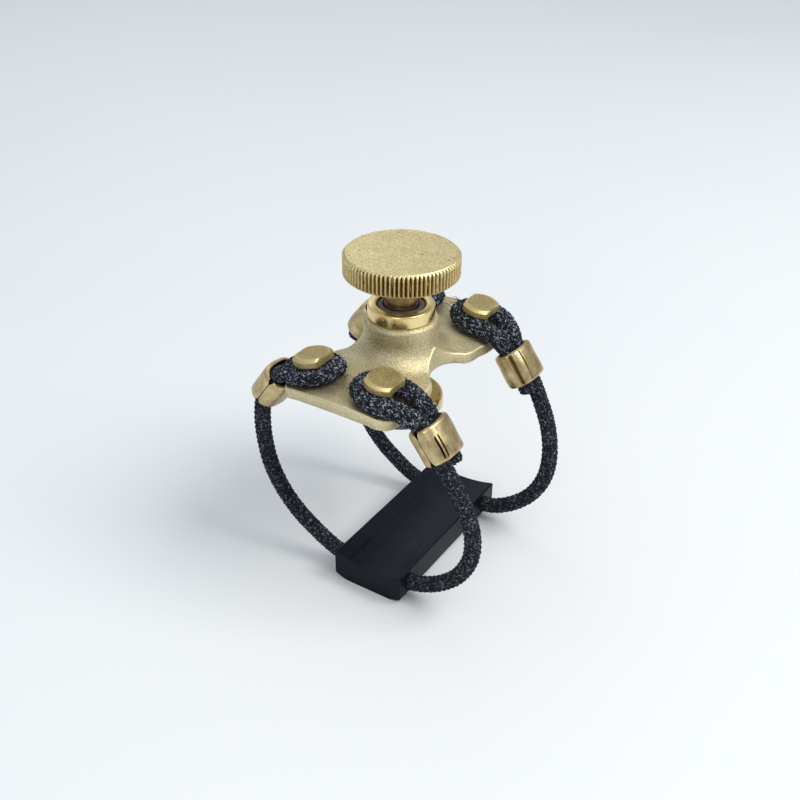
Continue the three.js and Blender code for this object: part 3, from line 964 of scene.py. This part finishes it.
def knob(material):
    """The knurled disc: straight V grooves that run out through both chamfers."""
    per_tooth, chamfer, inset = 10, 0.34, 0.4
    segments = KNOB_TEETH * per_tooth
    t = 2 * np.pi * np.arange(segments) / segments
    phase = (np.arange(segments) % per_tooth) / per_tooth
    valley = np.clip(1 - np.abs(phase - 0.5) / 0.34, 0, 1) ** 0.8
    toothed = KNOB_R - TOOTH_DEPTH * valley
    rows = [(0, KNOB_LOW), (NECK_R, KNOB_LOW), (KNOB_R - inset - 0.5, KNOB_LOW)]
    rows += [(KNOB_R - inset * (1 - k / 5), KNOB_LOW + chamfer * k / 5) for k in range(6)]
    rows += [(KNOB_R, KNOB_LOW + 0.9), (KNOB_R, KNOB_TOP - 0.9)]
    rows += [(KNOB_R - inset * k / 5, KNOB_TOP - chamfer * (1 - k / 5)) for k in range(6)]
    rows += [(radius, KNOB_TOP) for radius in (KNOB_R - inset - 0.06, KNOB_R - 1.2, 3.0, 0)]
    rings = []
    for radius, z in rows:
        reach = np.minimum(radius, toothed)
        rings.append(np.stack([reach * np.cos(t), reach * np.sin(t), np.full(segments, z)], axis=1))
    depth = np.array([np.maximum(0, radius - toothed) / TOOTH_DEPTH for radius, _ in rows])
    depth[6:11] = 0.42 + 0.58 * depth[6:11]  # painted shade: the knurled side is darker all over than the flats
    piece = surface("knurled_knob", np.array(rings) + CROWN, hollow=depth)
    return dress(piece, material, "satin_brass", "thumbscrew", "thumbscrew_knob")


def shaft(material):
    """Collar, neck, threaded stem and the plain journal that the foot turns on."""
    tip = FOOT_TOP - FOOT_WEB - 0.75
    neck_low = RECESS_FLOOR - 0.3
    lower = filleted([
        (0, tip), (JOURNAL_R, tip, 0.1), (JOURNAL_R, FOOT_TOP - 1.45), (JOURNAL_R - 0.3, FOOT_TOP - 1.4),
        (JOURNAL_R - 0.3, FOOT_TOP - 1.1), (JOURNAL_R, FOOT_TOP - 1.05), (JOURNAL_R, FOOT_TOP + 0.05),
        (STEM_R - 0.3, FOOT_TOP + 0.08),
    ])
    upper = filleted([
        (NECK_R - 0.4, neck_low), (NECK_R, neck_low + 0.4, 0.1), (NECK_R, UNDERCUT[0], 0.05),
        (UNDERCUT_R, UNDERCUT[0]), (UNDERCUT_R, UNDERCUT[1]), (NECK_R, UNDERCUT[1], 0.08),
        (NECK_R, KNOB_LOW - 0.5, 0.12), (NECK_R + 0.4, KNOB_LOW - 0.5, 0.12),
        (NECK_R + 0.4, KNOB_LOW + 0.05), (0, KNOB_LOW + 0.05),
    ])
    segments = 72
    heights = np.arange(FOOT_TOP + 0.1, neck_low, THREAD_PITCH / 10)
    t = 2 * np.pi * np.arange(segments) / segments
    lead = np.clip((heights - heights[0]) / 0.7, 0, 1)[:, None]
    turn = (heights[:, None] / THREAD_PITCH - t / (2 * np.pi)) % 1
    cut = 0.36 * np.clip(1.1 * np.abs(2 * turn - 1) - 0.1, 0, 1)
    radius = STEM_R - 0.06 * (1 - lead) - cut * lead - 0.2 * (1 - lead)
    stem = np.stack([radius * np.cos(t), radius * np.sin(t), heights[:, None] + 0 * t], axis=-1)
    rings = np.concatenate([circles(lower, segments), stem, circles(upper, segments)])
    piece = surface("screw_shaft", rings + CROWN)
    return dress(piece, material, "bronze", "thumbscrew", "thumbscrew_shaft")


def foot(material):
    low, hole, pocket = FOOT_TOP - FOOT_H, JOURNAL_R + RUNNING, 2.7
    web = FOOT_TOP - FOOT_WEB
    piece = turned("foot_disc", [
        (pocket, low, 0.1),
        (FOOT_R, low, 0.18),
        (FOOT_R, FOOT_TOP, 0.8),
        (hole, FOOT_TOP, 0.12),
        (hole, web, 0.06),
        (pocket, web, 0.1),
    ], closed=True)
    return dress(piece, material, "polished_brass", "pressure_foot", "pressure_foot")


def pad(material):
    top = FOOT_TOP - FOOT_H - 0.04
    low = FOOT_TOP - FOOT_H - 0.05 - PAD_H
    piece = turned("cork_pad", [
        (0, low), (PAD_R - 1.0, low), (PAD_R - 0.08, low, 0.3), (PAD_R, low + 0.6, 1.5),
        (PAD_R - 0.1, top, 0.08), (0, top),
    ])
    return dress(piece, material, "pad_felt", "pressure_foot", "foot_pad")


# ---- reed plate ----
def reed_plate(material):
    """The hard rubber bar, hollowed along its top for the reed and drilled across for the cords."""
    half_x, half_y, top = measured("reed_plate")[1]
    trough, edge_low, land = 0.85, 0.65, 3.7
    radius = (half_x**2 + trough**2) / (2 * trough)
    spread = math.degrees(math.asin((half_x - 0.35) / radius))
    hollow = arc(0, top - trough + radius, radius, 270 + spread, 270 - spread, 28)
    right = [(0, 0), (land, 0, 3.0), (half_x, edge_low, 0.5), (half_x, top, 0.22)]
    left = [(-corner[0], *corner[1:]) for corner in right[:0:-1]]
    section = filleted([*right, *map(tuple, hollow), *left])
    rings = np.array([[(x, y, z) for x, z in section] for y in (-half_y, half_y)])
    piece = surface("rubber_bar", rings, capped=True)
    for sy in (1, -1):
        hole = circles(np.array([(CORD_HOLE_R, -10.0), (CORD_HOLE_R, 10.0)]), 48)
        at = Matrix.Translation((0, sy * CORD_HOLE_Y * MM, CORD_HOLE_Z * MM))
        at = at @ Matrix.Rotation(math.pi / 2, 4, "Y")
        cutter = surface("cord_hole", hole, capped=True, transform=at)
        cut = piece.modifiers.new("cord_hole", "BOOLEAN")
        cut.object = cutter
        cut.operation = "DIFFERENCE"
        applied(piece)
        bpy.data.objects.remove(cutter)
    soft = piece.modifiers.new("soft_edges", "BEVEL")
    soft.width = 0.16 * MM
    soft.segments = 3
    soft.limit_method = "ANGLE"
    soft.angle_limit = math.radians(40)
    applied(piece)
    return dress(piece, material, "hard_rubber", "reed_plate", "reed_plate")


# ---- studio ----
def area_light(name, at, target, size, power, colour=(1, 1, 1)):
    data = bpy.data.lights.new(name, "AREA")
    data.shape = "DISK"
    data.size = size
    data.energy = power
    data.color = colour
    light = bpy.data.objects.new(name, data)
    light.location = at
    light.rotation_euler = (Vector(target) - Vector(at)).to_track_quat("-Z", "Y").to_euler()
    bpy.context.scene.collection.objects.link(light)


def studio():
    world = bpy.data.worlds.new("studio")
    world.use_nodes = True
    background = world.node_tree.nodes["Background"]
    background.inputs["Strength"].default_value = 0.75
    nodes, links = world.node_tree.nodes, world.node_tree.links
    direction = nodes.new("ShaderNodeTexCoord").outputs["Generated"]
    split = nodes.new("ShaderNodeSeparateXYZ")
    shade = nodes.new("ShaderNodeValToRGB")
    links.new(direction, split.inputs[0])
    links.new(split.outputs["Z"], shade.inputs["Fac"])
    links.new(shade.outputs["Color"], background.inputs["Color"])
    stops = shade.color_ramp.elements
    stops[0].position, stops[0].color = 0.0, (0.46, 0.47, 0.485, 1)
    stops[1].position, stops[1].color = 0.75, (0.945, 1.0, 1.07, 1)
    bpy.context.scene.world = world
    middle = (0, 0, 0.025)
    area_light("key", (0.32, 0.08, 0.42), middle, 0.34, 2.0, (1.0, 0.975, 0.935))
    area_light("front", (0.1, -0.34, 0.2), middle, 0.12, 0.2)
    area_light("back", (-0.3, 0.24, 0.3), middle, 0.3, 0.14, (0.97, 0.99, 1.0))
    bpy.context.scene.view_settings.view_transform = "Standard"


def floor(material):
    """A sheet of pale paper that runs far past the view."""
    half = 3.0
    mesh = bpy.data.meshes.new("floor")
    corners = [(-half, -half, 0), (half, -half, 0), (half, half, 0), (-half, half, 0)]
    mesh.from_pydata(corners, [], [(0, 1, 2, 3)])
    mesh.materials.append(material)
    link("floor", mesh)


# ---- assembly ----
fibre = braid_fibre()
place_cord("rear_braid", 1, "rear_cord", fibre)
place_cord("front_braid", -1, "front_cord", fibre)

studio()
floor(floor_paper())

yoke(blasted_brass("blasted_brass", (0.76, 0.67, 0.42), (0.63, 0.55, 0.34)))
stud_brass = blasted_brass("stud_brass", (0.6, 0.49, 0.24), (0.48, 0.38, 0.18), 0.05)
sleeve_brass = rolled_brass("sleeve_brass", (0.64, 0.52, 0.28), (0.42, 0.315, 0.16))
for end, side, sx, sy in CORNERS:
    cord_post(side, end, sx, sy, stud_brass)
    crimp_sleeve(side, end, sx, sy, sleeve_brass, sleeve_marks(side, end))
polished = bright_brass("polished_brass", (0.84, 0.68, 0.34), (0.76, 0.6, 0.28), 0.19)
bronze = bright_brass("bronze", (0.3, 0.21, 0.12), (0.19, 0.13, 0.08), 0.38)
bushing(polished)
# the foot: the bushing's polished brass made more mirror-like, and darkened as painted shade for its
# place under the yoke
foot(bright_brass("shaded_mirror_brass", (0.68, 0.54, 0.28), (0.52, 0.4, 0.19), 0.06))
knob(satin_brass())
shaft(bronze)
friction_ring(ring_rubber())
pad(speckled_pad())
reed_plate(hard_rubber())
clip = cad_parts["retaining_clip"]
clip.data.materials.clear()
clip.data.materials.append(bronze)
